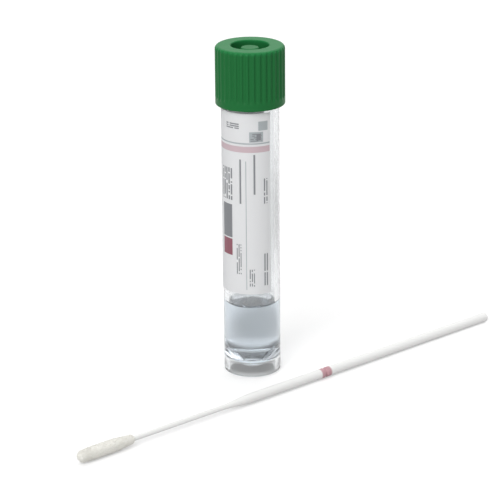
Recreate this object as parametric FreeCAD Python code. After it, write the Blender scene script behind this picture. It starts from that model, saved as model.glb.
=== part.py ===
import FreeCAD, Part
import math
import os

# Specimen swab tube: a clear self-standing screw-cap tube with a little liquid medium in it,
# and the flocked swab that goes with it, lying on the bench in front of the tube.
#
# Frame: millimetres, +Z up. The origin is the centre of the ring that the tube stands on.
# The user looks along +Y, and +X is to the user's right.
#
# The swab snaps at its notch, 80 mm from the tip. The cap's hub takes the snapped end, so the
# tube is just long enough inside for those 80 mm. Most lengths here follow from that.

# ---- driving dimensions -------------------------------------------------------------------

# whole tube
CLOSED_HEIGHT = 86.0        # bench to the top of the screwed-down cap
BODY_R = 7.25               # outside of the tube's body
BORE_R = 5.9                # inside of the tube
EDGE_ROUND = 0.3            # rounding of a moulded edge that has no radius of its own

# skirt and conical bottom
SKIRT_BORE_R = 5.95         # inside of the skirt, below the cone
FOOT_ROUND = 0.8            # rounding of the foot's outer edge
CONE_HALF_ANGLE = 43.0      # degrees, measured from the tube's axis
CONE_WALL = 1.2             # thickness of the conical wall
CONE_TIP_Z = 1.2            # underside of the cone's blunt tip
CONE_TIP_R = 2.2            # half width of the blunt tip, before rounding
CONE_TIP_ROUND = 1.8        # rounding of the tip, inside and outside

# neck
SHOULDER_Z = 70.7           # where the body ends, just below the cap's skirt
SHOULDER_RISE = 0.6         # height of the sloping shoulder
NECK_R = 6.8                # neck, at the root of its thread
MOUTH_GAP = 0.2             # from the tube's mouth to the cap's underside

# cap
CAP_R = 8.75                # over the grip ribs
CAP_HEIGHT = 15.0
CAP_BORE_R = 7.45           # inside of the cap's skirt, at the root of its thread
CAP_TOP_WALL = 1.6          # thickness of the ring that covers the mouth
CAP_EDGE_ROUND = 0.9        # rounding of the top edge
CAP_LIP_ROUND = 0.35        # rounding of the skirt's lower edge
RIB_COUNT = 36
RIB_DEPTH = 0.32            # how far the flutes between ribs are cut in
RIB_FLUTE_R = 0.6           # radius of one flute
GRIP_BAND = 2.0             # height of the smooth band below the ribs

# the cap's plug, which seals the bore, and its hub, which grips the swab
RECESS_R = 4.8              # outside of the ring-shaped recess in the cap's top
RECESS_DEPTH = 6.0
RECESS_ROUND = 0.4          # roundings of the recess floor and of the hub's top edge
PLUG_R = 5.7
PLUG_ROOT_ROUND = 0.2       # where the plug meets the underside of the top ring
PLUG_LEAD_ROUND = 0.8       # lower edge, which finds its way into the bore
PLUG_FLOOR = 1.2            # thickness of the recess's floor
BEAD_OUT = 0.15             # how far the sealing bead stands out of the plug
BEAD_HALF_HEIGHT = 0.6
BEAD_ROUND = 0.4
HUB_R = 2.3
HUB_DROP = 0.6              # hub's top, below the rim
HUB_TOP_WALL = 1.1
GUIDE_DROP = 1.5            # how far the hub's guide reaches below the plug
GUIDE_MOUTH_R = 1.9         # wide lower end of the guide
GUIDE_ROUND = 0.15          # rounding of the guide's thin lower edge
SOCKET_PLAY = 0.02          # between the socket and the shaft's snapped end
SOCKET_LEAD_ROUND = 0.8     # where the guide runs into the socket

# label
LABEL_THICK = 0.1
LABEL_LOW_Z = 22.8
LABEL_HIGH_Z = 70.2
LABEL_EDGE_AZIMUTH = -54.0  # degrees from +X, where the label's right-hand edge is
LABEL_WRAP = 250.0          # degrees of the body that the label covers

# liquid medium
LIQUID_Z = 18.3             # its flat surface
MENISCUS_RISE = 1.0
MENISCUS_WIDTH = 1.3
MENISCUS_ROUND = 1.6

# swab, measured along its axis from the end of the tip
SWAB_LENGTH = 140.0
BREAK_AT = 80.0
HANDLE_R = 1.25
STEM_R = 0.65
TAPER_FROM = 46.5
TAPER_TO = 54.0
TAPER_ROUND = 12.0          # long curves at both ends of the taper
CORE_FROM = 1.3
CORE_TO = 14.0
CORE_R = 0.85
CORE_END_ROUND = 0.5
CORE_NECK = 1.2             # length over which the core narrows to the stem
CORE_NECK_ROUND = 1.0
NOTCH_R = 0.75              # what is left of the shaft at the notch
NOTCH_WIDTH = 1.0
NOTCH_ROUND = 0.1
HANDLE_END_ROUND = 0.35
TIP_R = 1.8                 # flocked tip at its widest
TIP_NOSE_R = 1.6            # flocked tip near its end
TIP_NOSE_ROUND = 1.4
TIP_WIDE_FROM = 4.5
TIP_WIDE_TO = 10.5
TIP_FRONT_ROUND = 20.0      # long curves that lead into and out of the widest stretch
TIP_BACK_ROUND = 20.0
TIP_HEEL_R = 1.35           # where the fibres stop
TIP_HEEL_WIDTH = 0.8        # length of the slope from the heel down to the stem
TIP_HEEL_ROUND = 0.6
TIP_REAR_STEP = 0.15        # height of the tip's rear face over the stem
TIP_REAR_ROUND = 0.1
TIP_LENGTH = 17.0

# where the swab lies
SWAB_END_X = -41.2          # tip end, left of the tube and in front of it
SWAB_END_Y = -60.7
SWAB_AZIMUTH = 41.8         # degrees from +X towards +Y

# ---- derived sizes ------------------------------------------------------------------------

CAP_LOW_Z = CLOSED_HEIGHT - CAP_HEIGHT
CAP_UNDER_Z = CLOSED_HEIGHT - CAP_TOP_WALL
MOUTH_Z = CAP_UNDER_Z - MOUTH_GAP
RECESS_FLOOR_Z = CLOSED_HEIGHT - RECESS_DEPTH
PLUG_LOW_Z = RECESS_FLOOR_Z - PLUG_FLOOR
GUIDE_LOW_Z = PLUG_LOW_Z - GUIDE_DROP
HUB_TOP_Z = CLOSED_HEIGHT - HUB_DROP
SOCKET_TOP_Z = HUB_TOP_Z - HUB_TOP_WALL
SOCKET_R = HANDLE_R + SOCKET_PLAY
CONE_SLOPE = 1.0 / math.tan(math.radians(CONE_HALF_ANGLE))
CONE_LIFT = CONE_WALL / math.sin(math.radians(CONE_HALF_ANGLE))

Z_AXIS = FreeCAD.Vector(0, 0, 1)
ORIGIN = FreeCAD.Vector(0, 0, 0)


# ---- helpers ------------------------------------------------------------------------------

def rounded_face(corners):
    """Flat face in the XZ plane. Each corner is (x, z) or (x, z, radius of its rounding)."""
    points = [FreeCAD.Vector(corner[0], 0, corner[1]) for corner in corners]
    radii = [corner[2] if len(corner) > 2 else 0.0 for corner in corners]
    edges = []
    last_end = None
    first_start = None
    for index, here in enumerate(points):
        to_before = (points[index - 1] - here).normalize()
        to_after = (points[(index + 1) % len(points)] - here).normalize()
        start = here
        end = here
        arc = None
        if radii[index] > 0:
            half = to_before.getAngle(to_after) / 2
            reach = radii[index] / math.tan(half)
            start = here + to_before * reach
            end = here + to_after * reach
            inward = (to_before + to_after).normalize()
            centre = here + inward * (radii[index] / math.sin(half))
            arc = Part.Arc(start, centre - inward * radii[index], end).toShape()
        if last_end is None:
            first_start = start
        else:
            edges.append(Part.makeLine(last_end, start))
        if arc is not None:
            edges.append(arc)
        last_end = end
    edges.append(Part.makeLine(last_end, first_start))
    return Part.Face(Part.Wire(edges))


def turned(corners, axis=Z_AXIS):
    """Solid of revolution of a rounded outline about an axis through the origin."""
    return rounded_face(corners).revolve(ORIGIN, axis, 360)


def export(shape, node):
    shape.exportStep("parts/" + node + ".step")
    print(node, "valid", shape.isValid(), "solids", len(shape.Solids), "mm3", round(shape.Volume, 1))


# ---- tube ---------------------------------------------------------------------------------

def cone_z(radius):
    """Height of the conical bottom's outer face at a radius."""
    return CONE_TIP_Z + (radius - CONE_TIP_R) * CONE_SLOPE


def bottom_corners():
    """Inside of the conical bottom, from the bore down to the axis."""
    tip_floor_z = CONE_TIP_Z + CONE_WALL
    tip_r = CONE_TIP_R + (tip_floor_z - cone_z(CONE_TIP_R) - CONE_LIFT) / CONE_SLOPE
    return [
        (BORE_R, cone_z(BORE_R) + CONE_LIFT, CONE_TIP_ROUND),
        (tip_r, tip_floor_z, CONE_TIP_ROUND),
        (0.0, tip_floor_z),
    ]


def make_tube():
    """One moulding: skirt, conical bottom, body, shoulder and neck."""
    outside = [
        (CONE_TIP_R, CONE_TIP_Z, CONE_TIP_ROUND),
        (SKIRT_BORE_R, cone_z(SKIRT_BORE_R), FOOT_ROUND),
        (SKIRT_BORE_R, 0.0, EDGE_ROUND),
        (BODY_R, 0.0, FOOT_ROUND),
        (BODY_R, SHOULDER_Z, EDGE_ROUND),
        (NECK_R, SHOULDER_Z + SHOULDER_RISE, EDGE_ROUND),
        (NECK_R, MOUTH_Z, EDGE_ROUND),
    ]
    mouth = [(BORE_R, MOUTH_Z, EDGE_ROUND)]
    return turned([(0.0, CONE_TIP_Z)] + outside + mouth + bottom_corners())


def make_medium():
    """The liquid: it fills the conical bottom and climbs the wall a little."""
    surface = [
        (0.0, LIQUID_Z),
        (BORE_R - MENISCUS_WIDTH, LIQUID_Z, MENISCUS_ROUND),
        (BORE_R, LIQUID_Z + MENISCUS_RISE),
    ]
    return turned(surface + bottom_corners())


def make_label():
    """A thin sleeve round the body, open along one clear strip."""
    profile = Part.makePlane(LABEL_THICK, LABEL_HIGH_Z - LABEL_LOW_Z)
    profile.rotate(ORIGIN, FreeCAD.Vector(1, 0, 0), 90)
    profile.translate(FreeCAD.Vector(BODY_R, 0, LABEL_LOW_Z))
    sleeve = profile.revolve(ORIGIN, Z_AXIS, -LABEL_WRAP)
    sleeve.rotate(ORIGIN, Z_AXIS, LABEL_EDGE_AZIMUTH)
    return sleeve


# ---- cap ----------------------------------------------------------------------------------

def cap_blank():
    """Turned form of the cap: skirt, top ring, plug, recess floor and hub, in one wall."""
    bead_z = (PLUG_LOW_Z + CAP_UNDER_Z) / 2
    top = [
        (0.0, HUB_TOP_Z),
        (HUB_R, HUB_TOP_Z, RECESS_ROUND),
        (HUB_R, RECESS_FLOOR_Z, RECESS_ROUND),
        (RECESS_R, RECESS_FLOOR_Z, RECESS_ROUND),
        (RECESS_R, CLOSED_HEIGHT, EDGE_ROUND),
    ]
    skirt = [
        (CAP_R, CLOSED_HEIGHT, CAP_EDGE_ROUND),
        (CAP_R, CAP_LOW_Z, CAP_LIP_ROUND),
        (CAP_BORE_R, CAP_LOW_Z, CAP_LIP_ROUND),
        (CAP_BORE_R, CAP_UNDER_Z, EDGE_ROUND),
    ]
    plug = [
        (PLUG_R, CAP_UNDER_Z, PLUG_ROOT_ROUND),
        (PLUG_R, bead_z + BEAD_HALF_HEIGHT),
        (PLUG_R + BEAD_OUT, bead_z, BEAD_ROUND),
        (PLUG_R, bead_z - BEAD_HALF_HEIGHT),
        (PLUG_R, PLUG_LOW_Z, PLUG_LEAD_ROUND),
    ]
    socket = [
        (HUB_R, PLUG_LOW_Z, EDGE_ROUND),
        (HUB_R, GUIDE_LOW_Z, GUIDE_ROUND),
        (GUIDE_MOUTH_R, GUIDE_LOW_Z, GUIDE_ROUND),
        (SOCKET_R, RECESS_FLOOR_Z, SOCKET_LEAD_ROUND),
        (SOCKET_R, SOCKET_TOP_Z, EDGE_ROUND),
        (0.0, SOCKET_TOP_Z),
    ]
    return turned(top + skirt + plug + socket)


def grip_flutes():
    """The hollows between the grip ribs, as one compound of round-ended cutters."""
    low_z = CAP_LOW_Z + GRIP_BAND + RIB_FLUTE_R
    centre_r = CAP_R - RIB_DEPTH + RIB_FLUTE_R
    foot = FreeCAD.Vector(centre_r, 0, low_z)
    rod = Part.makeCylinder(RIB_FLUTE_R, CAP_HEIGHT, foot, Z_AXIS)
    flute = rod.fuse(Part.makeSphere(RIB_FLUTE_R, foot))
    flutes = []
    for index in range(RIB_COUNT):
        copy = flute.copy()
        copy.rotate(ORIGIN, Z_AXIS, index * 360.0 / RIB_COUNT)
        flutes.append(copy)
    return Part.makeCompound(flutes)


def make_cap():
    return cap_blank().cut(grip_flutes())


# ---- swab ---------------------------------------------------------------------------------

def lay_down(shape):
    """Move a shape from the swab's own axis to the bench, where tip and handle both touch it."""
    run = SWAB_LENGTH - HANDLE_END_ROUND - TIP_WIDE_TO
    tilt = math.atan((TIP_R - HANDLE_R) / run)
    shape.rotate(ORIGIN, FreeCAD.Vector(0, 1, 0), math.degrees(tilt))
    shape.rotate(ORIGIN, Z_AXIS, SWAB_AZIMUTH)
    end_z = TIP_R * math.cos(tilt) + TIP_WIDE_TO * math.sin(tilt)
    shape.translate(FreeCAD.Vector(SWAB_END_X, SWAB_END_Y, end_z))
    return shape


def shaft_on_axis():
    """The moulded shaft along +X: core under the tip, thin stem, taper, handle and notch."""
    outline = [
        (CORE_FROM, 0.0),
        (CORE_FROM, CORE_R, CORE_END_ROUND),
        (CORE_TO, CORE_R, CORE_NECK_ROUND),
        (CORE_TO + CORE_NECK, STEM_R, CORE_NECK_ROUND),
        (TAPER_FROM, STEM_R, TAPER_ROUND),
        (TAPER_TO, HANDLE_R, TAPER_ROUND),
        (BREAK_AT - NOTCH_WIDTH / 2, HANDLE_R),
        (BREAK_AT, NOTCH_R, NOTCH_ROUND),
        (BREAK_AT + NOTCH_WIDTH / 2, HANDLE_R),
        (SWAB_LENGTH, HANDLE_R, HANDLE_END_ROUND),
        (SWAB_LENGTH, 0.0),
    ]
    return turned(outline, FreeCAD.Vector(1, 0, 0))


def tip_on_axis(shaft):
    """The flocked tip along +X: a long bud with a round end, hollow where the core fills it."""
    outline = [
        (0.0, 0.0),
        (0.0, TIP_NOSE_R, TIP_NOSE_ROUND),
        (TIP_WIDE_FROM, TIP_R, TIP_FRONT_ROUND),
        (TIP_WIDE_TO, TIP_R, TIP_BACK_ROUND),
        (TIP_LENGTH - TIP_HEEL_WIDTH, TIP_HEEL_R, TIP_HEEL_ROUND),
        (TIP_LENGTH, STEM_R + TIP_REAR_STEP, TIP_REAR_ROUND),
        (TIP_LENGTH, 0.0),
    ]
    return turned(outline, FreeCAD.Vector(1, 0, 0)).cut(shaft)


# ---- build --------------------------------------------------------------------------------

os.makedirs("parts", exist_ok=True)
shaft = shaft_on_axis()
export(make_tube(), "tube")
export(make_medium(), "medium")
export(make_label(), "label")
export(make_cap(), "cap")
export(lay_down(tip_on_axis(shaft)), "swab_tip")
export(lay_down(shaft.copy()), "swab_shaft")
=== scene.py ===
# %% [markdown]
# # A specimen swab tube, finished round its CAD frame
#
# The CAD model holds the sizes: a clear screw-cap tube that stands on its own skirt, and a
# flocked swab lying on the bench in front of it. This file gives each piece its looks. It
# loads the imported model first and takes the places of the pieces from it, so that nothing has
# to be fitted by hand.

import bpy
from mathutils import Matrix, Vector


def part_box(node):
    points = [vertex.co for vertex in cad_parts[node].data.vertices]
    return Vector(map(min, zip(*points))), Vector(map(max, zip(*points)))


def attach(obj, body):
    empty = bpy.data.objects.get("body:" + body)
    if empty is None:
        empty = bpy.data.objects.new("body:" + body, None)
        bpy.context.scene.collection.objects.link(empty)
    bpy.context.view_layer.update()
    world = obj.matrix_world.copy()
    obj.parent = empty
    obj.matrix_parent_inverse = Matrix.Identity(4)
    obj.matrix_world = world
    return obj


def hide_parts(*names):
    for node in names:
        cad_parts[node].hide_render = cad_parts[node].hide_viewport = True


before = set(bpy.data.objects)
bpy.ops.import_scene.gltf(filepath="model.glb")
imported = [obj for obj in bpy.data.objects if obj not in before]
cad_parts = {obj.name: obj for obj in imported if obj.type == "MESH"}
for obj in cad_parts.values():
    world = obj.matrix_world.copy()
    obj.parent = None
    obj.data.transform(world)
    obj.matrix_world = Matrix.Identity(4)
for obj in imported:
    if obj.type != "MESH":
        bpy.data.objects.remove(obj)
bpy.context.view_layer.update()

# %% [markdown]
# ## Sizes
#
# Blender works in metres and this object is small, so lengths are written in millimetres and
# multiplied by MM. The boxes of the CAD nodes give the heights and outer radii. The inner sizes
# that a box can't show, such as the plug under the cap, are named once, beside their piece.

# %% Sizes from the frame
import math
import random

import bmesh
import bpy
from mathutils import Matrix, Vector, noise

MM = 0.001


def box_mm(node):
    """Lowest and highest corner of a CAD node, in millimetres."""
    low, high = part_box(node)
    return low / MM, high / MM


_, tube_high = box_mm("tube")
cap_low, cap_high = box_mm("cap")
label_low, label_high = box_mm("label")
medium_low, medium_high = box_mm("medium")

BODY_R = tube_high.x
BORE_R = medium_high.x
LABEL_R = label_high.y
CAP_R = cap_high.x
CAP_LOW = cap_low.z
CAP_TOP = cap_high.z
MOUTH_Z = tube_high.z
print("tube", round(BODY_R, 2), "bore", round(BORE_R, 2), "mouth", round(MOUTH_Z, 2))

# %% [markdown]
# ## Turned shapes
#
# A tube, a cap, a drop of liquid and a swab are all made on a lathe or in a round mould. The
# quickest true model is a profile spun about an axis. The profile is a chain of a few points.
# A vertex bevel rounds its corners, as a moulded edge is rounded, and `bmesh.ops.spin` turns it.
# A mirror or an array of panels would leave seams, and a subdivided cylinder would need its
# edges sharpened again, so the spin is the better way here.

# %% Helper: a rounded profile
ARC_SEGMENTS = 6         # steps in each rounded corner
HOLD = 0.1               # mm from the end of a straight wall to its holding point
LONG_EDGE = 8 * HOLD     # shorter walls need no holding points
SAME_WALL = 0.01         # mm within which two radii are the same wall


def corner_reach(before, here, after, radius):
    """How far along both edges a rounding of this radius starts from its corner."""
    to_before = (Vector(before[:2]) - Vector(here[:2])).normalized()
    to_after = (Vector(after[:2]) - Vector(here[:2])).normalized()
    return radius / math.tan(to_before.angle(to_after) / 2)


def profile(corners):
    """A chain of edges in the XZ plane, in mm. A corner is (radius, z) or (radius, z, rounding)."""
    shape = bmesh.new()
    chain = [shape.verts.new((corner[0], 0, corner[1])) for corner in corners]
    for start, end in zip(chain, chain[1:]):
        shape.edges.new((start, end))
    for index, corner in enumerate(corners):
        if len(corner) > 2:
            reach = corner_reach(corners[index - 1], corner, corners[index + 1], corner[2])
            bmesh.ops.bevel(shape, geom=[chain[index]], offset=reach, offset_type="OFFSET",
                            segments=ARC_SEGMENTS, profile=0.5, affect="VERTICES", material=-1)
    add_holding_points(shape)
    return shape


def add_holding_points(shape):
    """A point close to both ends of every long edge, so smooth shading stays in the roundings."""
    for edge in [edge for edge in shape.edges if edge.calc_length() > LONG_EDGE]:
        first, last = edge.verts
        held = bmesh.utils.edge_split(edge, first, HOLD / edge.calc_length())[1]
        rest = next(edge for edge in held.link_edges if last in edge.verts)
        bmesh.utils.edge_split(rest, last, HOLD / rest.calc_length())


def divide(shape, low, high, step, wall=None):
    """Cut a profile's edges between two heights into pieces no longer than step.

    Where wall is a radius, only the edges that stand at this radius are cut.
    """
    for edge in list(shape.edges):
        ends = sorted(vert.co.z for vert in edge.verts)
        middle = (edge.verts[0].co + edge.verts[1].co) / 2
        on_wall = wall is None or abs(middle.x - wall) < SAME_WALL
        if low - step < ends[0] and ends[1] < high + step and on_wall:
            cuts = int(edge.calc_length() / step)
            if cuts > 0:
                bmesh.ops.subdivide_edges(shape, edges=[edge], cuts=cuts)


# %% Helper: spin a profile
SECTOR_STEPS = 12
SEAM_REACH = 1e-4        # mm within which points of a seam are merged


def spin_sector(shape, angle, steps=SECTOR_STEPS):
    """Turn a profile part of the way round Z."""
    bmesh.ops.spin(shape, geom=shape.verts[:] + shape.edges[:], cent=(0, 0, 0), axis=(0, 0, 1),
                   dvec=(0, 0, 0), angle=angle, steps=steps, use_merge=False, use_duplicate=False)


def spin_round(shape, sectors):
    """Turn one sector, copy it all the way round, close the seams and face it outwards."""
    angle = 2 * math.pi / sectors
    spin_sector(shape, angle)
    sector = shape.verts[:] + shape.edges[:] + shape.faces[:]
    for index in range(1, sectors):
        copied = bmesh.ops.duplicate(shape, geom=sector)["geom"]
        verts = [item for item in copied if isinstance(item, bmesh.types.BMVert)]
        bmesh.ops.rotate(shape, cent=(0, 0, 0), verts=verts,
                         matrix=Matrix.Rotation(index * angle, 3, "Z"))
    bmesh.ops.remove_doubles(shape, verts=shape.verts[:], dist=SEAM_REACH)
    bmesh.ops.recalc_face_normals(shape, faces=shape.faces[:])


# %% Helper: keep the result
SHARP_FROM = math.radians(40)


def keep(shape, name, body, replaced, material):
    """Write a bmesh in mm to a new smooth piece in metres, ride it and give it its material."""
    bmesh.ops.scale(shape, vec=(MM, MM, MM), verts=shape.verts[:])
    mesh = bpy.data.meshes.new(name)
    shape.to_mesh(mesh)
    shape.free()
    mesh.shade_smooth()
    mesh.set_sharp_from_angle(angle=SHARP_FROM)
    piece = bpy.data.objects.new(name, mesh)
    bpy.context.scene.collection.objects.link(piece)
    mesh.materials.append(material)
    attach(piece, body)
    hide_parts(replaced)
    triangles = sum(len(face.vertices) - 2 for face in mesh.polygons)
    print(name, len(mesh.vertices), "vertices", triangles, "triangles")


# %% [markdown]
# ## The screw thread
#
# The neck and the cap carry a thread that goes round one and three quarter times. It could be
# swept as a separate ridge and joined with a boolean, but in clear plastic every hidden inner
# face would show. So the turned wall is divided finely and its points are moved in or out where
# the ridge runs. The wall stays one closed skin. The same function serves both threads: the
# cap's ridge runs in the gap of the tube's, half a pitch higher.

# %% Helpers: the thread's height, and points moved in or out
PITCH = 3.0
TURNS = 1.75
CREST_HALF = 0.3         # half the ridge's width in mm at its crest
FOOT_HALF = 0.75         # and at its foot
FADE_TURNS = 0.12        # share of a turn in which the ridge runs out at its ends
THREAD_START_Z = 75.6


def smooth(value):
    """Smooth step from 0 to 1."""
    value = min(1.0, max(0.0, value))
    return value * value * (3 - 2 * value)


def thread_height(angle, z, start_z):
    """Share of the full ridge, 0 to 1, at an angle in radians and a height in mm."""
    turn_share = (angle / (2 * math.pi)) % 1.0
    turn = round((z - start_z) / PITCH - turn_share) + turn_share
    off_crest = abs(z - start_z - turn * PITCH)
    flank = (FOOT_HALF - off_crest) / (FOOT_HALF - CREST_HALF)
    fade = min(turn, TURNS - turn) / FADE_TURNS
    return smooth(flank) * smooth(fade)


def polar(place):
    """Distance from the Z axis, and the angle round it."""
    return math.hypot(place.x, place.y), math.atan2(place.y, place.x)


def move_radially(vert, radius):
    """Put a vertex at a new distance from the Z axis."""
    scale = radius / polar(vert.co)[0]
    vert.co.x *= scale
    vert.co.y *= scale


# %% [markdown]
# ## Shared effect: fine moulded skin
#
# Moulded plastic is never a perfect mirror. It has a very fine orange-peel skin and its gloss
# changes a little from place to place. Cap, tube and shaft share that, so it is one node group
# with its own inputs. It puts out a height for a Bump node and a value for the roughness, and
# the shader itself stays in each material.

# %% Helpers: sockets and sums of a node group
def add_socket(group, name, direction, kind, default=None):
    """One named socket on a node group."""
    socket = group.interface.new_socket(name, in_out=direction, socket_type=kind)
    if default is not None:
        socket.default_value = default


def link_math(group, operation, first, second=None, clamp=False):
    """A Math node fed by sockets or plain numbers; returns its output."""
    node = group.nodes.new("ShaderNodeMath")
    node.operation = operation
    node.use_clamp = clamp
    for index, value in enumerate((first, second)):
        if isinstance(value, (int, float)):
            node.inputs[index].default_value = value
        elif value is not None:
            group.links.new(value, node.inputs[index])
    return node.outputs[0]


# %% Node group: moulded skin
PATCHES_PER_METRE = 260.0


def make_moulded_skin():
    """Grain to bump a moulded surface with, and its uneven roughness."""
    group = bpy.data.node_groups.new("Moulded skin", "ShaderNodeTree")
    add_socket(group, "Vector", "INPUT", "NodeSocketVector")
    add_socket(group, "Grain per metre", "INPUT", "NodeSocketFloat", 2500.0)
    add_socket(group, "Roughness", "INPUT", "NodeSocketFloat", 0.35)
    add_socket(group, "Roughness spread", "INPUT", "NodeSocketFloat", 0.1)
    add_socket(group, "Height", "OUTPUT", "NodeSocketFloat")
    add_socket(group, "Roughness", "OUTPUT", "NodeSocketFloat")
    inside = group.nodes.new("NodeGroupInput")
    outside = group.nodes.new("NodeGroupOutput")
    grain = group.nodes.new("ShaderNodeTexNoise")
    grain.inputs["Detail"].default_value = 3.0
    group.links.new(inside.outputs["Vector"], grain.inputs["Vector"])
    group.links.new(inside.outputs["Grain per metre"], grain.inputs["Scale"])
    patch = group.nodes.new("ShaderNodeTexNoise")
    patch.inputs["Scale"].default_value = PATCHES_PER_METRE
    patch.inputs["Detail"].default_value = 4.0
    group.links.new(inside.outputs["Vector"], patch.inputs["Vector"])
    centred = link_math(group, "SUBTRACT", patch.outputs["Fac"], 0.5)
    spread = link_math(group, "MULTIPLY", centred, inside.outputs["Roughness spread"])
    rough = link_math(group, "ADD", inside.outputs["Roughness"], spread, clamp=True)
    group.links.new(grain.outputs["Fac"], outside.inputs["Height"])
    group.links.new(rough, outside.inputs["Roughness"])
    return group


moulded_skin = make_moulded_skin()
print("group", moulded_skin.name, [s.name for s in moulded_skin.interface.items_tree])

# %% [markdown]
# ## Parts that the materials share
#
# Each material starts from a fresh Principled shader. The steps that most of them need are short
# functions: add the skin, mix two colours, rise softly from one value to another, and take light
# out of a clear piece. Each material could write its nodes out in full, but this way its own cell
# shows only what makes it different.

# %% Helpers: parts of a material
BUMP_MM = 0.02           # depth of the grain


def new_material(name):
    """A material with a fresh Principled shader, and its texture coordinates."""
    material = bpy.data.materials.new(name)
    material.use_nodes = True
    nodes = material.node_tree.nodes
    shader = nodes["Principled BSDF"]
    places = nodes.new("ShaderNodeTexCoord")
    return material, shader, places


def add_skin(material, shader, places, grain, roughness, spread, bump):
    """Put the moulded skin on a material's shader."""
    nodes, links = material.node_tree.nodes, material.node_tree.links
    skin = nodes.new("ShaderNodeGroup")
    skin.node_tree = moulded_skin
    skin.inputs["Grain per metre"].default_value = grain
    skin.inputs["Roughness"].default_value = roughness
    skin.inputs["Roughness spread"].default_value = spread
    links.new(places.outputs["Object"], skin.inputs["Vector"])
    links.new(skin.outputs["Roughness"], shader.inputs["Roughness"])
    bumped = nodes.new("ShaderNodeBump")
    bumped.inputs["Strength"].default_value = bump
    bumped.inputs["Distance"].default_value = BUMP_MM * MM
    links.new(skin.outputs["Height"], bumped.inputs["Height"])
    links.new(bumped.outputs["Normal"], shader.inputs["Normal"])


def split(tree, vector):
    """The X, Y and Z outputs of a vector."""
    node = tree.nodes.new("ShaderNodeSeparateXYZ")
    tree.links.new(vector, node.inputs["Vector"])
    return node.outputs


def mix_colours(tree, share, first, second):
    """The first colour where share is 0 and the second where it is 1; each a socket or plain."""
    mix = tree.nodes.new("ShaderNodeMix")
    mix.data_type = "RGBA"
    tree.links.new(share, mix.inputs["Factor"])
    for index, colour in ((6, first), (7, second)):      # its two colour sockets, A and B
        if isinstance(colour, tuple):
            mix.inputs[index].default_value = colour
        else:
            tree.links.new(colour, mix.inputs[index])
    return mix.outputs[2]


def soft_step(tree, value, low, high, start=0.0):
    """From start below low to 1 above high, with a soft rise between them."""
    rise = tree.nodes.new("ShaderNodeMapRange")
    rise.interpolation_type = "SMOOTHSTEP"
    tree.links.new(value, rise.inputs["Value"])
    for name, number in zip(("From Min", "From Max", "To Min"), (low, high, start)):
        rise.inputs[name].default_value = number
    return rise.outputs["Result"]


def absorb(material, colour, density):
    """Take light out of what the surface encloses."""
    tree = material.node_tree
    volume = tree.nodes.new("ShaderNodeVolumeAbsorption")
    volume.inputs["Color"].default_value = colour
    volume.inputs["Density"].default_value = density
    tree.links.new(volume.outputs["Volume"], tree.nodes["Material Output"].inputs["Volume"])


# %% [markdown]
# ## The clear tube
#
# The tube is one polypropylene moulding: a skirt to stand on, a conical bottom that gathers the
# last drops, a long body and a threaded neck. Polypropylene is clear but slightly milky, and it
# greys where the light runs along the wall. A transmission shader gives the clearness. A little
# Volume Absorption greys the long paths at the edges, which a tinted surface could not do.
#
# Where the liquid wets the wall, light passes from plastic to water and never meets air, so the
# wall nearly disappears. The renderer bends light by one number for each surface, as if the
# other side were air. So the faces carry an attribute that says how wet they are, and the wetted
# ones get the ratio of the two materials in place of the plastic's own number.

# %% Helper: an index that depends on a face attribute
PLASTIC_INDEX = 1.49
LIQUID_INDEX = 1.335


def mark_faces(shape, name, wanted):
    """Store 1 on the faces whose centre and normal are wanted, and 0 on the others."""
    layer = shape.faces.layers.float.new(name)
    for face in shape.faces:
        face[layer] = float(wanted(face.calc_center_median(), face.normal))


def blend_index(material, shader, name, plain, marked):
    """Give plain faces one refractive index and marked faces another."""
    tree = material.node_tree
    shader.inputs["IOR"].default_value = max(plain, marked)
    mark = tree.nodes.new("ShaderNodeAttribute")
    mark.attribute_name = name
    scaled = link_math(tree, "MULTIPLY", mark.outputs["Fac"], marked - plain)
    tree.links.new(link_math(tree, "ADD", scaled, plain), shader.inputs["IOR"])


# %% Tube profile
CONE_ANGLE = math.radians(43.0)          # between the cone's wall and the tube's axis
CONE_RISE = 1 / math.tan(CONE_ANGLE)     # mm up for each mm outwards
CONE_TIP_R = 2.2
CONE_TIP_ROUND = 1.8
CONE_WALL = 1.2
CONE_TIP_Z = medium_low.z - CONE_WALL
SKIRT_BORE_R = 5.95
NECK_R = 6.8
SHOULDER_Z = 70.7
NECK_LOW_Z = SHOULDER_Z + 0.6


def cone_z(radius):
    """Height of the conical bottom's outer face."""
    return CONE_TIP_Z + (radius - CONE_TIP_R) * CONE_RISE


def bore_bottom(bite=0.0):
    """Corners of the conical inside, or of a skin that lies this deep in its wall."""
    radius = BORE_R + bite
    lift = (CONE_WALL - bite) / math.sin(CONE_ANGLE)
    floor_z = medium_low.z - bite
    floor_r = CONE_TIP_R + (floor_z - CONE_TIP_Z - lift) / CONE_RISE
    return [(radius, cone_z(radius) + lift, CONE_TIP_ROUND), (floor_r, floor_z, CONE_TIP_ROUND),
            (0.0, floor_z)]


def is_wetted(centre, normal):
    """Whether this face of the tube is inside it and under the liquid's edge."""
    radius = polar(centre)[0]
    inside = radius < BORE_R + SAME_WALL
    return inside and cone_z(radius) + CONE_WALL / 2 < centre.z < medium_high.z


# %% Build the tube
TUBE_SECTORS = 16
THREAD_STEP = 0.14       # mm between points up the neck, so that the ridge is smooth


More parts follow.
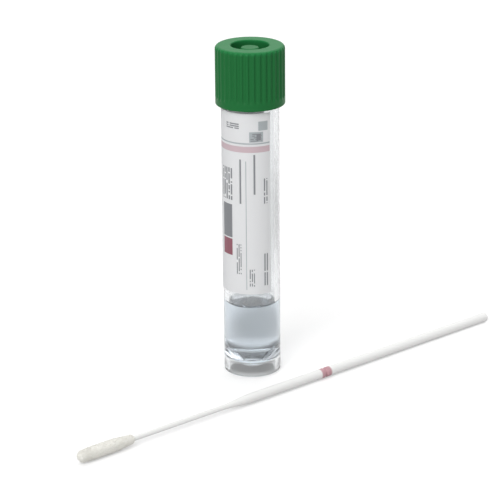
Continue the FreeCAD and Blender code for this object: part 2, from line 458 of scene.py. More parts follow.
def build_tube(material):
    """Spin the tube, raise its thread and mark what the liquid wets."""
    shape = profile([
        (0.0, CONE_TIP_Z),
        (CONE_TIP_R, CONE_TIP_Z, CONE_TIP_ROUND),
        (SKIRT_BORE_R, cone_z(SKIRT_BORE_R), 0.8),
        (SKIRT_BORE_R, 0.0, 0.3),
        (BODY_R, 0.0, 0.8),
        (BODY_R, SHOULDER_Z, 0.3),
        (NECK_R, NECK_LOW_Z, 0.3),
        (NECK_R, MOUTH_Z, 0.3),
        (BORE_R, MOUTH_Z, 0.3),
        (BORE_R, medium_high.z),
    ] + bore_bottom())
    divide(shape, NECK_LOW_Z, MOUTH_Z, THREAD_STEP, wall=NECK_R)
    spin_round(shape, TUBE_SECTORS)
    for vert in shape.verts:
        radius, angle = polar(vert.co)
        if abs(radius - NECK_R) < SAME_WALL and vert.co.z > SHOULDER_Z:
            share = thread_height(angle, vert.co.z, THREAD_START_Z)
            move_radially(vert, radius + share * (BODY_R - NECK_R))
    mark_faces(shape, "wetted", is_wetted)
    keep(shape, "clear_tube", "tube_and_swab", "tube", material)


# %% Material: clear polypropylene
CLEARNESS = 0.965
PLASTIC_TONE = (0.97, 0.98, 0.985, 1)
HAZE_TONE = (0.62, 0.65, 0.68, 1)
HAZE_DENSITY = 60.0


def make_clear_plastic():
    """Clear plastic, a little milky, that greys long paths."""
    material, shader, places = new_material("Clear polypropylene")
    shader.inputs["Base Color"].default_value = PLASTIC_TONE
    blend_index(material, shader, "wetted", PLASTIC_INDEX, PLASTIC_INDEX / LIQUID_INDEX)
    add_skin(material, shader, places, grain=1800.0, roughness=0.12, spread=0.06, bump=0.08)
    shader.inputs["Transmission Weight"].default_value = CLEARNESS
    absorb(material, HAZE_TONE, HAZE_DENSITY)
    return material


build_tube(make_clear_plastic())

# %% [markdown]
# ## The liquid medium
#
# About one and a half millilitres of clear liquid fill the cone. It climbs the wall in a small
# meniscus, which is what makes the surface readable. The liquid's skin reaches a hair into the
# tube's wall, because a gap there would show as a mirror. Only the free surface bends light: the
# wetted wall has already been given the bend between plastic and liquid, so the skin inside the
# wall has an index of 1 and only closes the volume that tints the light.

# %% Build the liquid
LIQUID_Z = 18.3
LIQUID_SECTORS = 12
MENISCUS_WIDE = 1.3
MENISCUS_ROUND = 1.6
WALL_BITE = 0.05


def is_free_surface(centre, normal):
    """Whether this face of the liquid meets the air."""
    return normal.z > 0 and polar(centre)[0] < BORE_R


def build_liquid(material):
    """Spin the liquid with its meniscus, and mark its free surface."""
    shape = profile([
        (0.0, LIQUID_Z),
        (BORE_R - MENISCUS_WIDE, LIQUID_Z, MENISCUS_ROUND),
        (BORE_R, medium_high.z),
        (BORE_R + WALL_BITE, medium_high.z),
    ] + bore_bottom(WALL_BITE))
    spin_round(shape, LIQUID_SECTORS)
    shape.normal_update()
    mark_faces(shape, "free", is_free_surface)
    keep(shape, "liquid_medium", "tube_and_swab", "medium", material)


# %% Material: clear medium
MEDIUM_TONE = (0.96, 0.98, 1.0, 1)
MEDIUM_TINT = (0.475, 0.60, 0.70, 1)
MEDIUM_DENSITY = 40.0


def make_liquid():
    """Clear water-thin liquid with a faint cool tint."""
    material, shader, _ = new_material("Clear medium")
    shader.inputs["Base Color"].default_value = MEDIUM_TONE
    shader.inputs["Transmission Weight"].default_value = 1.0
    blend_index(material, shader, "free", 1.0, LIQUID_INDEX)
    shader.inputs["Roughness"].default_value = 0.0
    absorb(material, MEDIUM_TINT, MEDIUM_DENSITY)
    return material


build_liquid(make_liquid())

# %% [markdown]
# ## The label
#
# A paper label wraps most of the body and leaves one clear strip to see the level through. It is
# a single upright edge spun part of the way round, then given its thickness. Its UV map is in
# millimetres: U runs round the tube from a bare margin at the right-hand edge, and V is the
# height. The print can then be placed with a ruler, as on the real roll. The paper's inner side
# bites a hair into the tube, as glue does, so that no mirror of air is left between them.

# %% Build the label
LABEL_EDGE = math.radians(-48.5)         # the right-hand edge, from the X axis
LABEL_WRAP = math.radians(255.5)
LABEL_MARGIN = math.radians(5.5)         # bare paper between the edge and where U starts
EDGE_SLACK = 0.1                         # radians within which a point is on the first edge
LABEL_STEPS = 180
LABEL_THICK = LABEL_R - BODY_R
GLUE_BITE = 0.02


def build_label(material):
    """Spin the label's edge, map it in millimetres and give it its thickness."""
    shape = bmesh.new()
    low = shape.verts.new((LABEL_R, 0, label_low.z))
    high = shape.verts.new((LABEL_R, 0, label_high.z))
    shape.edges.new((low, high))
    bmesh.ops.rotate(shape, cent=(0, 0, 0), matrix=Matrix.Rotation(LABEL_EDGE, 3, "Z"),
                     verts=shape.verts[:])
    spin_sector(shape, -LABEL_WRAP, steps=LABEL_STEPS)
    bmesh.ops.remove_doubles(shape, verts=shape.verts[:], dist=SEAM_REACH)
    layer = shape.loops.layers.uv.new("Print")
    for face in shape.faces:
        for loop in face.loops:
            around = (LABEL_EDGE - polar(loop.vert.co)[1]) % (2 * math.pi)
            if around > LABEL_WRAP + EDGE_SLACK:
                around = 0.0
            loop[layer].uv = ((around - LABEL_MARGIN) * LABEL_R, loop.vert.co.z)
    if sum(face.normal.dot(face.calc_center_median()) for face in shape.faces) < 0:
        bmesh.ops.reverse_faces(shape, faces=shape.faces[:])
    bmesh.ops.solidify(shape, geom=shape.faces[:], thickness=LABEL_THICK + GLUE_BITE)
    keep(shape, "wrap_label", "tube_and_swab", "label", material)


# %% [markdown]
# ## The print on the label
#
# Everything printed is a plain block of colour or a block of thin broken lines, which stands for
# small print without any lettering. One node group draws one block: a rectangle, divided into
# lines, with gaps along each line. The material places it many times with its own numbers.

# %% Node group: print block
PRINT_SOFTNESS = 0.05    # mm over which a block's edge fades
DASHES_PER_MM = 2.6


def make_print_block():
    """A mask for one rectangle of lines with gaps, placed in millimetres."""
    group = bpy.data.node_groups.new("Print block", "ShaderNodeTree")
    for name in ("Across", "Along"):
        add_socket(group, name, "INPUT", "NodeSocketFloat")
    for name, value in (("Centre across", 0.0), ("Centre along", 0.0), ("Half across", 1.0),
                        ("Half along", 1.0), ("Lines", 1.0), ("Ink share", 1.0), ("Gaps", 0.0)):
        add_socket(group, name, "INPUT", "NodeSocketFloat", value)
    add_socket(group, "Mask", "OUTPUT", "NodeSocketFloat")
    given = group.nodes.new("NodeGroupInput").outputs
    out = group.nodes.new("NodeGroupOutput")
    masks = []
    for place, centre, half in (("Across", "Centre across", "Half across"),
                                ("Along", "Centre along", "Half along")):
        off = link_math(group, "SUBTRACT", given[place], given[centre])
        room = link_math(group, "SUBTRACT", given[half], link_math(group, "ABSOLUTE", off))
        masks.append(link_math(group, "DIVIDE", room, PRINT_SOFTNESS, clamp=True))
    box_mask = link_math(group, "MULTIPLY", masks[0], masks[1])
    start = link_math(group, "SUBTRACT", given["Centre across"], given["Half across"])
    into = link_math(group, "SUBTRACT", given["Across"], start)
    width = link_math(group, "MULTIPLY", given["Half across"], 2.0)
    across_share = link_math(group, "DIVIDE", into, width)
    line_place = link_math(group, "MULTIPLY", across_share, given["Lines"])
    line_share = link_math(group, "FRACT", line_place)
    inked = link_math(group, "LESS_THAN", line_share, given["Ink share"])
    dash_place = link_math(group, "MULTIPLY", given["Along"], DASHES_PER_MM)
    cell = group.nodes.new("ShaderNodeCombineXYZ")
    group.links.new(link_math(group, "FLOOR", line_place), cell.inputs["X"])
    group.links.new(link_math(group, "FLOOR", dash_place), cell.inputs["Y"])
    dash = group.nodes.new("ShaderNodeTexWhiteNoise")
    dash.noise_dimensions = "2D"
    group.links.new(cell.outputs["Vector"], dash.inputs["Vector"])
    kept = link_math(group, "GREATER_THAN", dash.outputs["Value"], given["Gaps"])
    lines = link_math(group, "MULTIPLY", inked, kept)
    group.links.new(link_math(group, "MULTIPLY", box_mask, lines), out.inputs["Mask"])
    return group


print_block = make_print_block()
print("group", print_block.name, [s.name for s in print_block.interface.items_tree])

# %% Where the print goes
INKS = {
    "grey": (0.30, 0.31, 0.33, 1),
    "pale": (0.52, 0.56, 0.58, 1),
    "maroon": (0.36, 0.13, 0.17, 1),
    "pink": (0.74, 0.59, 0.63, 1),
}
# Each block: centre round the tube, centre height, half width, half height (all mm), number of
# lines, share of a line that is inked, share left blank in it, and which ink. Lines run up the
# label in the upright blocks, and round it in the level ones.
UPRIGHT_BLOCKS = [
    (11.6, 41.9, 1.8, 4.4, 1, 1.0, 0.0, "grey"),
    (11.6, 35.0, 1.8, 2.2, 1, 1.0, 0.0, "maroon"),
    (7.35, 52.6, 0.25, 5.8, 1, 1.0, 0.0, "grey"),
    (11.8, 51.6, 2.1, 4.2, 5, 0.6, 0.15, "grey"),
    (8.0, 32.1, 0.8, 4.0, 3, 0.5, 0.2, "grey"),
    (4.6, 27.2, 0.8, 2.3, 3, 0.5, 0.2, "grey"),
    (3.75, 54.5, 0.25, 5.2, 1, 1.0, 0.0, "grey"),
    (0.95, 50.0, 0.7, 3.3, 2, 0.5, 0.1, "grey"),
    (0.95, 29.2, 0.7, 4.3, 2, 0.5, 0.1, "grey"),
    (5.9, 41.0, 0.12, 17.0, 1, 1.0, 0.0, "pale"),
]
LEVEL_BLOCKS = [
    (9.6, 67.0, 2.0, 0.8, 3, 0.6, 0.1, "grey"),
    (1.4, 67.0, 1.3, 1.2, 1, 1.0, 0.0, "pale"),
    (3.2, 64.2, 1.8, 1.35, 1, 1.0, 0.0, "pale"),
    (2.6, 64.2, 0.6, 0.9, 1, 1.0, 0.0, "grey"),
    (3.2, 64.2, 1.5, 1.1, 5, 0.5, 0.3, "grey"),
    (16.0, 62.5, 16.5, 0.2, 1, 1.0, 0.0, "pale"),
    (16.0, 61.0, 16.5, 0.8, 1, 1.0, 0.0, "pink"),
]


# %% Material: printed label
PAPER_WHITE = (0.93, 0.935, 0.945, 1)
PAPER_LETS_THROUGH = 0.32


def print_mask(tree, ruler, block, upright):
    """The mask of one block, upright or level."""
    around, height, half_around, half_height, lines, ink_share, gaps, _ = block
    node = tree.nodes.new("ShaderNodeGroup")
    node.node_tree = print_block
    sides = [(ruler["X"], around, half_around), (ruler["Y"], height, half_height)]
    if not upright:
        sides.reverse()
    for name, (place, centre, half) in zip(("across", "along"), sides):
        tree.links.new(place, node.inputs[name.capitalize()])
        node.inputs["Centre " + name].default_value = centre
        node.inputs["Half " + name].default_value = half
    for name, value in (("Lines", lines), ("Ink share", ink_share), ("Gaps", gaps)):
        node.inputs[name].default_value = value
    return node.outputs["Mask"]


def make_label_paper():
    """White coated paper with its print, which lets some light through from behind."""
    material, shader, places = new_material("Printed label")
    tree = material.node_tree
    ruler = split(tree, places.outputs["UV"])
    colour = PAPER_WHITE
    for blocks, upright in ((UPRIGHT_BLOCKS, True), (LEVEL_BLOCKS, False)):
        for block in blocks:
            colour = mix_colours(tree, print_mask(tree, ruler, block, upright), colour,
                                 INKS[block[-1]])
    tree.links.new(colour, shader.inputs["Base Color"])
    add_skin(material, shader, places, grain=3500.0, roughness=0.42, spread=0.08, bump=0.2)
    through = tree.nodes.new("ShaderNodeBsdfTranslucent")
    tree.links.new(colour, through.inputs["Color"])
    both = tree.nodes.new("ShaderNodeMixShader")
    both.inputs["Fac"].default_value = PAPER_LETS_THROUGH
    tree.links.new(shader.outputs[0], both.inputs[1])
    tree.links.new(through.outputs[0], both.inputs[2])
    tree.links.new(both.outputs[0], tree.nodes["Material Output"].inputs["Surface"])
    return material


build_label(make_label_paper())

# %% [markdown]
# ## The cap
#
# The cap is one green polyethylene moulding. Its wall goes from the ribbed skirt over the rim,
# down into a ring-shaped recess, up to the hub and back underneath as the plug. It is again one
# spun profile. The hollows between the ribs are round flutes. Points of the wall that lie inside
# a flute's circle are moved back onto it, so the flutes run out by themselves at the rounded rim.
# The rim is painted a lighter green than the wall below. This is painted light, standing for the
# light from above that the rounded rim catches.

# %% Cap profile
CAP_BORE_R = 7.45
CAP_UNDER_Z = CAP_TOP - 1.6
CAP_THREAD_START_Z = THREAD_START_Z + PITCH / 2
CAP_THREAD_LOW_Z = CAP_THREAD_START_Z - 1.0
RECESS_R = 4.8
RECESS_FLOOR_Z = CAP_TOP - 6.0
PLUG_R = 5.7
PLUG_LOW_Z = RECESS_FLOOR_Z - 1.2
BEAD_HEIGHT = 0.15
BEAD_HALF = 0.6
HUB_R = 2.3
HUB_TOP_Z = CAP_TOP - 0.6
COLLAR_LOW_Z = PLUG_LOW_Z - 1.5
COLLAR_BORE_R = 1.9
SOCKET_R = 1.27
SOCKET_TOP_Z = HUB_TOP_Z - 1.1


def cap_corners():
    """The cap's outline from the hub's top over the rim and back underneath to the socket."""
    bead_z = (PLUG_LOW_Z + CAP_UNDER_Z) / 2
    return [
        (0.0, HUB_TOP_Z), (HUB_R, HUB_TOP_Z, 0.4), (HUB_R, RECESS_FLOOR_Z, 0.4),
        (RECESS_R, RECESS_FLOOR_Z, 0.4), (RECESS_R, CAP_TOP, 0.3),
        (CAP_R, CAP_TOP, 0.9), (CAP_R, CAP_LOW, 0.35), (CAP_BORE_R, CAP_LOW, 0.35),
        (CAP_BORE_R, CAP_THREAD_LOW_Z), (CAP_BORE_R, CAP_UNDER_Z, 0.3),
        (PLUG_R, CAP_UNDER_Z, 0.2), (PLUG_R, bead_z + BEAD_HALF),
        (PLUG_R + BEAD_HEIGHT, bead_z, 0.4), (PLUG_R, bead_z - BEAD_HALF),
        (PLUG_R, PLUG_LOW_Z, 0.8), (HUB_R, PLUG_LOW_Z, 0.3),
        (HUB_R, COLLAR_LOW_Z, 0.15), (COLLAR_BORE_R, COLLAR_LOW_Z, 0.15),
        (SOCKET_R, RECESS_FLOOR_Z, 0.8), (SOCKET_R, SOCKET_TOP_Z, 0.3), (0.0, SOCKET_TOP_Z),
    ]


# %% Helper: grip flutes
RIBS = 36
FLUTE_R = 0.6
FLUTE_DEPTH = 0.32
GRIP_LOW_Z = CAP_LOW + 2.0               # a smooth band is left below the flutes


def fluted_radius(radius, angle, z):
    """The radius of the cap's wall once the nearest flute has been taken out of it."""
    pitch = 2 * math.pi / RIBS
    off = (angle + pitch / 2) % pitch - pitch / 2
    centre_r = CAP_R - FLUTE_DEPTH + FLUTE_R
    below = max(0.0, GRIP_LOW_Z + FLUTE_R - z)
    reach = FLUTE_R ** 2 - below ** 2 - (centre_r * math.sin(off)) ** 2
    if reach <= 0:
        return radius
    return min(radius, centre_r * math.cos(off) - math.sqrt(reach))


# %% Build the cap
GRIP_START = (GRIP_LOW_Z - 0.3, GRIP_LOW_Z + 1.0)     # heights between which the flutes start
GRIP_STEP = 0.1          # mm between points there
WALL_STEP = 0.5          # and between points up the rest of the wall
CAP_THREAD_STEP = 0.16
CAP_THREAD_HEIGHT = 0.45
OUTER_WALL_R = CAP_BORE_R + 0.3


def build_cap(material):
    """Spin the cap, press the flutes into its wall and raise the thread inside it."""
    shape = profile(cap_corners())
    divide(shape, *GRIP_START, GRIP_STEP, wall=CAP_R)
    divide(shape, CAP_LOW, CAP_TOP, WALL_STEP, wall=CAP_R)
    divide(shape, CAP_THREAD_LOW_Z, CAP_UNDER_Z, CAP_THREAD_STEP, wall=CAP_BORE_R)
    spin_round(shape, RIBS)
    for vert in shape.verts:
        radius, angle = polar(vert.co)
        if radius > OUTER_WALL_R:
            new_radius = fluted_radius(radius, angle, vert.co.z)
            if new_radius < radius:
                move_radially(vert, new_radius)
        elif abs(radius - CAP_BORE_R) < SAME_WALL:
            share = thread_height(angle, vert.co.z, CAP_THREAD_START_Z)
            move_radially(vert, radius - share * CAP_THREAD_HEIGHT)
    keep(shape, "green_cap", "cap", "cap", material)


# %% Material: green polyethylene
# The lighter green at the top is painted light: a painted highlight for the light from above on the
# rim.
PAINTED_LIGHT_RIM_DEPTH = 1.2            # mm below the top in which the green turns lighter
WALL_GREEN = (0.013, 0.132, 0.035, 1)
RIM_PAINTED_LIGHT_GREEN = (0.016, 0.185, 0.052, 1)


def make_green_plastic():
    """Satin green plastic, with painted light that makes the rim lighter."""
    material, shader, places = new_material("Green polyethylene")
    tree = material.node_tree
    height = split(tree, places.outputs["Object"])["Z"]
    # painted light: the green turns lighter towards the top, where the light from above falls
    painted_rim_light = soft_step(tree, height, (CAP_TOP - PAINTED_LIGHT_RIM_DEPTH) * MM, CAP_TOP * MM)
    tree.links.new(mix_colours(tree, painted_rim_light, WALL_GREEN, RIM_PAINTED_LIGHT_GREEN), shader.inputs["Base Color"])
    shader.inputs["IOR"].default_value = 1.5
    shader.inputs["Specular IOR Level"].default_value = 0.09
    add_skin(material, shader, places, grain=2600.0, roughness=0.38, spread=0.12, bump=0.3)
    return material


build_cap(make_green_plastic())

# %% [markdown]
# ## The swab's shaft
#
# The shaft is one thin moulding. A stem that bends easily carries the tip, a longer handle is
# for the fingers, and a notch between them lets the user snap the handle off against the tube's
# mouth. A red ring marks the notch. The profile is spun upright and then laid along the bench.
# The far corner of the shaft's CAD box says where the handle ends. A UV map keeps the distance
# along the shaft from before it is laid down, so that the ring needs only one number.

# %% Where the swab's axis runs
_, shaft_high = box_mm("swab_shaft")
HANDLE_R = 1.25
TIP_R = 1.8
SWAB_LENGTH = 140.0
HANDLE_END_ROUND = 0.35
TIP_WIDE_TO = 10.5
SWAB_AZIMUTH = math.radians(41.8)
SWAB_TILT = math.atan((TIP_R - HANDLE_R) / (SWAB_LENGTH - HANDLE_END_ROUND - TIP_WIDE_TO))
handle_end = Vector((shaft_high.x - HANDLE_R * math.sin(SWAB_AZIMUTH),
                     shaft_high.y - HANDLE_R * math.cos(SWAB_AZIMUTH), 0))
print("handle end in mm", [round(c, 2) for c in handle_end])


def lay_down(shape):
    """Turn a shape from the Z axis onto the swab's axis, with its far end at the handle's end."""
    turn = Matrix.Rotation(SWAB_AZIMUTH, 4, "Z") @ Matrix.Rotation(math.pi / 2 + SWAB_TILT, 4, "Y")
    along = turn @ Vector((0, 0, 1))
    end = handle_end - along * SWAB_LENGTH
    end.z = TIP_R * math.cos(SWAB_TILT) + TIP_WIDE_TO * math.sin(SWAB_TILT)
    bmesh.ops.transform(shape, matrix=Matrix.Translation(end) @ turn, verts=shape.verts[:])


# %% Build the shaft
CORE_R = 0.85            # the core that the flock is glued on
CORE_FROM = 1.3          # mm from the tip's end, as the lengths below are
CORE_TO = 14.0
STEM_R = 0.65
STEM_FROM = 15.2
STEM_TO = 46.5
HANDLE_FROM = 54.0
TAPER_ROUND = 12.0
BREAK_AT = 80.0
NOTCH_R = 0.75
NOTCH_HALF = 0.5
SHAFT_STEP = 3.0
SHAFT_SECTORS = 4


def build_shaft(material):
    """Spin the shaft from its core to its handle, and lay it down."""
    shape = profile([
        (0.0, CORE_FROM), (CORE_R, CORE_FROM, 0.5), (CORE_R, CORE_TO, 1.0),
        (STEM_R, STEM_FROM, 1.0),
        (STEM_R, STEM_TO, TAPER_ROUND), (HANDLE_R, HANDLE_FROM, TAPER_ROUND),
        (HANDLE_R, BREAK_AT - NOTCH_HALF), (NOTCH_R, BREAK_AT, 0.1),
        (HANDLE_R, BREAK_AT + NOTCH_HALF),
        (HANDLE_R, SWAB_LENGTH, HANDLE_END_ROUND), (0.0, SWAB_LENGTH),
    ])
    divide(shape, STEM_FROM, SWAB_LENGTH, SHAFT_STEP)
    spin_round(shape, SHAFT_SECTORS)
    layer = shape.loops.layers.uv.new("Along")
    for face in shape.faces:
        for loop in face.loops:
            loop[layer].uv = (loop.vert.co.z, polar(loop.vert.co)[1])
    lay_down(shape)
    keep(shape, "shaft_moulding", "tube_and_swab", "swab_shaft", material)


# %% Material: white shaft with a red ring
SHAFT_WHITE = (0.84, 0.84, 0.83, 1)
RING_RED = (0.52, 0.30, 0.33, 1)
RING_HALF = 1.9
RING_SOFTNESS = 0.5


def make_white_plastic():
    """Satin white plastic, with the ring placed by the distance along the shaft."""
    material, shader, places = new_material("White shaft with red ring")
    tree = material.node_tree
    along = split(tree, places.outputs["UV"])["X"]
    off = link_math(tree, "ABSOLUTE", link_math(tree, "SUBTRACT", along, BREAK_AT))
    room = link_math(tree, "SUBTRACT", RING_HALF, off)
    ring = link_math(tree, "DIVIDE", room, RING_SOFTNESS, clamp=True)
    tree.links.new(mix_colours(tree, ring, SHAFT_WHITE, RING_RED), shader.inputs["Base Color"])
    shader.inputs["Specular IOR Level"].default_value = 0.2
    add_skin(material, shader, places, grain=2200.0, roughness=0.38, spread=0.1, bump=0.2)
    return material


build_shaft(make_white_plastic())

# %% [markdown]
# ## The flocked tip
#
# Nylon fibres under half a millimetre long are shot onto the glued core and stand up like velvet.
# The mass of them is a turned bud, and over it stand thousands of single fibres, each a thin
# three-sided spike. They are made as real geometry, so the tip's edge is soft from every side.
# Their places are drawn from a seeded generator, so each run gives the same tip.

# %% Place one fibre
NOSE_LENGTH = 1.4
TIP_WIDE_FROM = 4.5
FLOCK_SHOULDER_R = 1.35
FLOCK_SHOULDER = 16.2
FLOCK_TO = 16.9
# the outline that the fibres reach to: radius, and distance from the tip's end
FLOCK_OUTLINE = [(1.6, 0.0), (TIP_R, TIP_WIDE_FROM), (TIP_R, TIP_WIDE_TO),
                 (FLOCK_SHOULDER_R, FLOCK_SHOULDER), (0.8, 17.0)]
FIBRE_LENGTH = 0.42
SHORTEST_SHARE = 0.8
FIBRE_SINK = 0.04        # mm that a fibre's end stays under the outline
FIBRE_LEAN = 0.22


def flock_radius(along):
    """Radius of the flock at a distance from its end, without the rounding of its nose."""
    stretches = zip(FLOCK_OUTLINE, FLOCK_OUTLINE[1:])
    (r0, z0), (r1, z1) = next(stretch for stretch in stretches if along <= stretch[1][1])
    return r0 + (r1 - r0) * smooth((along - z0) / (z1 - z0))


def fibre_matrix(draw):
    """Place of one fibre: its foot inside the bud, pointing out, leaning a little at random."""
    along = draw.uniform(0.0, FLOCK_TO)
    around = draw.uniform(0.0, 2 * math.pi)
    blunt = max(0.0, 1 - along / NOSE_LENGTH)
    nose = smooth(blunt)
    out = Vector((math.cos(around) * (1 - nose), math.sin(around) * (1 - nose), -nose)).normalized()
    lean = Vector([draw.gauss(0, FIBRE_LEAN) for _ in range(3)])
    direction = (out + lean).normalized()
    radius = flock_radius(along) * math.sqrt(1 - blunt ** 2)
    surface = Vector((math.cos(around) * radius, math.sin(around) * radius, along))
    length = FIBRE_LENGTH * draw.uniform(SHORTEST_SHARE, 1.0)
    middle = surface - out * FIBRE_SINK - direction * length / 2
    turn = Vector((0, 0, 1)).rotation_difference(direction).to_matrix().to_4x4()
    return Matrix.Translation(middle) @ turn, length


# %% Build the flocked tip
BUD_INSET = 0.3          # the bud lies this deep under the outline
BUD_NOSE_R = 1.1
BUD_ROUND = 20.0         # large roundings, which blend the bud's stretches into one curve
BUD_STEP = 0.8
BUD_SECTORS = 5
LUMPS_PER_MM = 1.6
LUMP_HEIGHT = 0.05
FLOCK_SEED = 11
FIBRES = 7000
FIBRES_PER_BATCH = 200
FIBRE_R = 0.022
FIBRE_END_R = 0.4 * FIBRE_R


def build_tip(material):
    """Spin the bud, make it a little lumpy and set the fibres on it."""
    bud_r = TIP_R - BUD_INSET
    shape = profile([
        (0.0, BUD_INSET), (BUD_NOSE_R, BUD_INSET, 1.0), (bud_r, TIP_WIDE_FROM, BUD_ROUND),
        (bud_r, TIP_WIDE_TO, BUD_ROUND), (FLOCK_SHOULDER_R - BUD_INSET, FLOCK_SHOULDER, 0.6),
        (STEM_R + 0.1, FLOCK_TO), (0.0, FLOCK_TO),
    ])
    divide(shape, 0.0, FLOCK_TO, BUD_STEP)
    spin_round(shape, BUD_SECTORS)
    for vert in shape.verts:
        lump = noise.noise(vert.co * LUMPS_PER_MM) * LUMP_HEIGHT
        vert.co += vert.normal * lump
    draw = random.Random(FLOCK_SEED)
    for _ in range(FIBRES // FIBRES_PER_BATCH):
        batch = bmesh.new()
        for _ in range(FIBRES_PER_BATCH):
            place, length = fibre_matrix(draw)
            bmesh.ops.create_cone(batch, cap_ends=True, cap_tris=True, segments=3, radius1=FIBRE_R,
                                  radius2=FIBRE_END_R, depth=length, matrix=place)
        mesh = bpy.data.meshes.new("batch")
        batch.to_mesh(mesh)
        batch.free()
        shape.from_mesh(mesh)
        bpy.data.meshes.remove(mesh)
    lay_down(shape)
    keep(shape, "flocked_tip", "tube_and_swab", "swab_tip", material)


# %% Material: nylon flock
CLUMPS_PER_METRE = 900.0
FLOCK_SHADE = (0.79, 0.78, 0.73, 1)
FLOCK_LIGHT = (0.88, 0.87, 0.83, 1)


def make_flock():
    """Matt cream-white fibres that clump a little."""
    material, shader, places = new_material("Nylon flock")
    tree = material.node_tree
    clump = tree.nodes.new("ShaderNodeTexNoise")
    clump.inputs["Scale"].default_value = CLUMPS_PER_METRE
    clump.inputs["Detail"].default_value = 3.0
    tree.links.new(places.outputs["Object"], clump.inputs["Vector"])
    colour = mix_colours(tree, clump.outputs["Fac"], FLOCK_SHADE, FLOCK_LIGHT)
    tree.links.new(colour, shader.inputs["Base Color"])
    shader.inputs["Roughness"].default_value = 0.75
    shader.inputs["Sheen Weight"].default_value = 0.3
    return material


build_tip(make_flock())

# %% [markdown]
# ## Floor and room
#
# The set stands on a plain white sweep. The floor is a real diffuse floor, so it takes the soft
# shadow. For what the camera, reflections and clear plastic see of it, a little plain light is
# added, so that it reads as white. This light grows with the distance, because the lamps fall
# off there and the floor has to meet the white room. More lamps would do it too, but they would
# bleach the object.
#
# Clear plastic shows what lies under and behind it, and in a real room much of that is dark. An
# empty white set would leave the liquid and the foot without any form. Four soft patches of
# shade stand for that room. Only light that has come through clear plastic sees them.

# %% Helper: white for the eye only
def seen_directly(tree):
    """1 for what the camera, a reflection or clear plastic sees, and 0 for light that bounces."""
    path = tree.nodes.new("ShaderNodeLightPath")
    seen = link_math(tree, "MAXIMUM", path.outputs["Is Camera Ray"], path.outputs["Is Glossy Ray"])
    return link_math(tree, "MAXIMUM", seen, path.outputs["Is Transmission Ray"])


# %% Helpers: soft patches on the floor
# centre, inner radius and outer radius in mm, and the share of light left in it
SHADE_PATCHES = [
    ((0, 5, 0), 6.8, 12.0, 0.25),
    ((0, 11, 0), 2.5, 5.0, 0.5),
    ((-5, 36, 0), 7.0, 24.0, 0.48),
    ((90, 110, 0), 20.0, 75.0, 0.58),
]


def soft_patch(tree, vector, centre, inner, outer, share):
    """A round patch: this share inside, rising softly to 1 outside. Lengths in millimetres."""
    distance = tree.nodes.new("ShaderNodeVectorMath")
    distance.operation = "DISTANCE"
    tree.links.new(vector, distance.inputs[0])
    distance.inputs[1].default_value = Vector(centre) * MM
    return soft_step(tree, distance.outputs["Value"], inner * MM, outer * MM, start=share)


def light_left(tree, places):
    """1 for most rays, and less for those that see a patch of shade through clear plastic."""
    left = 1.0
    for patch in SHADE_PATCHES:
        left = link_math(tree, "MULTIPLY", soft_patch(tree, places, *patch), left)
    through = tree.nodes.new("ShaderNodeLightPath").outputs["Is Transmission Ray"]
    loss = link_math(tree, "MULTIPLY", link_math(tree, "SUBTRACT", 1.0, left), through)
    return link_math(tree, "SUBTRACT", 1.0, loss)


# %% Material: white floor
FLOOR_COLOUR = 0.65
FLOOR_GLOW = 0.4
GLOW_RISE = (300.0, 1200.0)              # mm from the tube between which the glow grows to 1


def make_floor_white():
    """A matt floor, plus a glow that only the eye sees."""
    material = bpy.data.materials.new("White floor")
    material.use_nodes = True
    tree = material.node_tree
    tree.nodes.clear()
    matt = tree.nodes.new("ShaderNodeBsdfDiffuse")
    glow = tree.nodes.new("ShaderNodeEmission")
    places = tree.nodes.new("ShaderNodeTexCoord").outputs["Object"]
    left = light_left(tree, places)
    tree.links.new(link_math(tree, "MULTIPLY", left, FLOOR_COLOUR), matt.inputs["Color"])
    level = soft_patch(tree, places, (0, 0, 0), *GLOW_RISE, FLOOR_GLOW)
    strength = link_math(tree, "MULTIPLY", seen_directly(tree), level)
    tree.links.new(link_math(tree, "MULTIPLY", left, strength), glow.inputs["Strength"])
    both = tree.nodes.new("ShaderNodeAddShader")
    tree.links.new(matt.outputs[0], both.inputs[0])
    tree.links.new(glow.outputs[0], both.inputs[1])
    output = tree.nodes.new("ShaderNodeOutputMaterial")
    tree.links.new(both.outputs[0], output.inputs["Surface"])
    return material


# %% Floor and world
FLOOR_HALF = 4.0         # metres
WORLD_LIGHT = 0.3        # what the room gives the object; the eye sees it at 1, as white


def build_floor(material):
    """One big square, which belongs to the stage and not to the object."""
    shape = bmesh.new()
    bmesh.ops.create_grid(shape, x_segments=1, y_segments=1, size=FLOOR_HALF)
    mesh = bpy.data.meshes.new("floor")
    shape.to_mesh(mesh)
    shape.free()
    mesh.materials.append(material)
    floor = bpy.data.objects.new("floor", mesh)
    bpy.context.scene.collection.objects.link(floor)
    print("floor, side in metres:", round(floor.dimensions.x, 2))


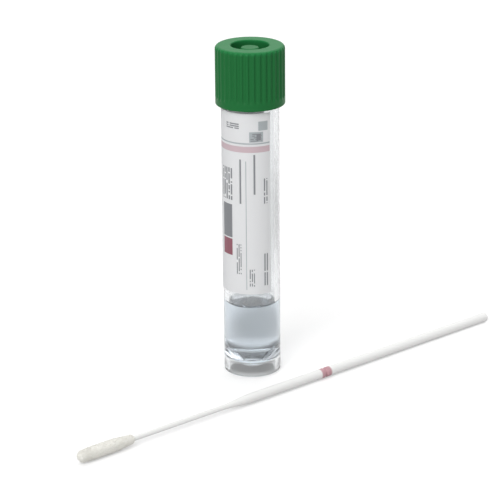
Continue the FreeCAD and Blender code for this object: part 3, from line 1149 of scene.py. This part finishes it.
def build_world():
    """A room that is white to the eye and dull for the light that it gives."""
    world = bpy.data.worlds.new("White room")
    world.use_nodes = True
    tree = world.node_tree
    background = tree.nodes["Background"]
    background.inputs["Color"].default_value = (1, 1, 1, 1)
    extra = link_math(tree, "MULTIPLY", seen_directly(tree), 1.0 - WORLD_LIGHT)
    tree.links.new(link_math(tree, "ADD", extra, WORLD_LIGHT), background.inputs["Strength"])
    bpy.context.scene.world = world
    print("world", world.name)


build_floor(make_floor_white())
build_world()

# %% [markdown]
# ## Lamps
#
# A big lamp in front on the left lights the object, and a weak one on the right fills its shaded
# side. The largest hangs above and a little behind, and lays the soft contact shadows. Together
# they light the object at a level at which a colour renders about as it is written.

# %% Lamps
MIDDLE = (0.0, -0.01, 0.045)


def add_lamp(name, place, size, watts):
    """A square soft lamp, aimed at the middle of the set. Lengths in metres."""
    data = bpy.data.lights.new(name, "AREA")
    data.size = size
    data.energy = watts
    lamp = bpy.data.objects.new(name, data)
    bpy.context.scene.collection.objects.link(lamp)
    lamp.location = place
    lamp.rotation_euler = (Vector(MIDDLE) - Vector(place)).to_track_quat("-Z", "Y").to_euler()
    print("lamp", name, watts, "W")


add_lamp("key", (-0.6, -1.4, 1.15), size=1.0, watts=26.0)
add_lamp("fill", (1.3, 0.3, 0.7), size=0.8, watts=3.0)
add_lamp("top", (0.05, 0.7, 1.4), size=1.6, watts=13.0)

# %% [markdown]
# ## Camera
#
# The camera stands in front of the set and a little above it, and looks down by about nineteen
# degrees with a long lens, so the tube's sides stay nearly upright. It is rolled by half a degree.

# %% Camera
LENS = 178.6
SENSOR_WIDTH = 36.0
CAMERA_PLACE = (-0.0004, -0.600, 0.240)
LOOK_DOWN = 0.334        # radians
CAMERA_ROLL = math.radians(-0.5)

camera_data = bpy.data.cameras.new("camera")
camera_data.lens = LENS
camera_data.sensor_width = SENSOR_WIDTH
camera_data.clip_start = 0.01
camera = bpy.data.objects.new("camera", camera_data)
bpy.context.scene.collection.objects.link(camera)
camera.location = CAMERA_PLACE
turned = Matrix.Rotation(math.pi / 2 - LOOK_DOWN, 3, "X") @ Matrix.Rotation(CAMERA_ROLL, 3, "Z")
camera.rotation_euler = turned.to_euler()
bpy.context.scene.camera = camera
bpy.context.scene.view_settings.view_transform = "Standard"
print("camera at", CAMERA_PLACE, "lens", LENS)
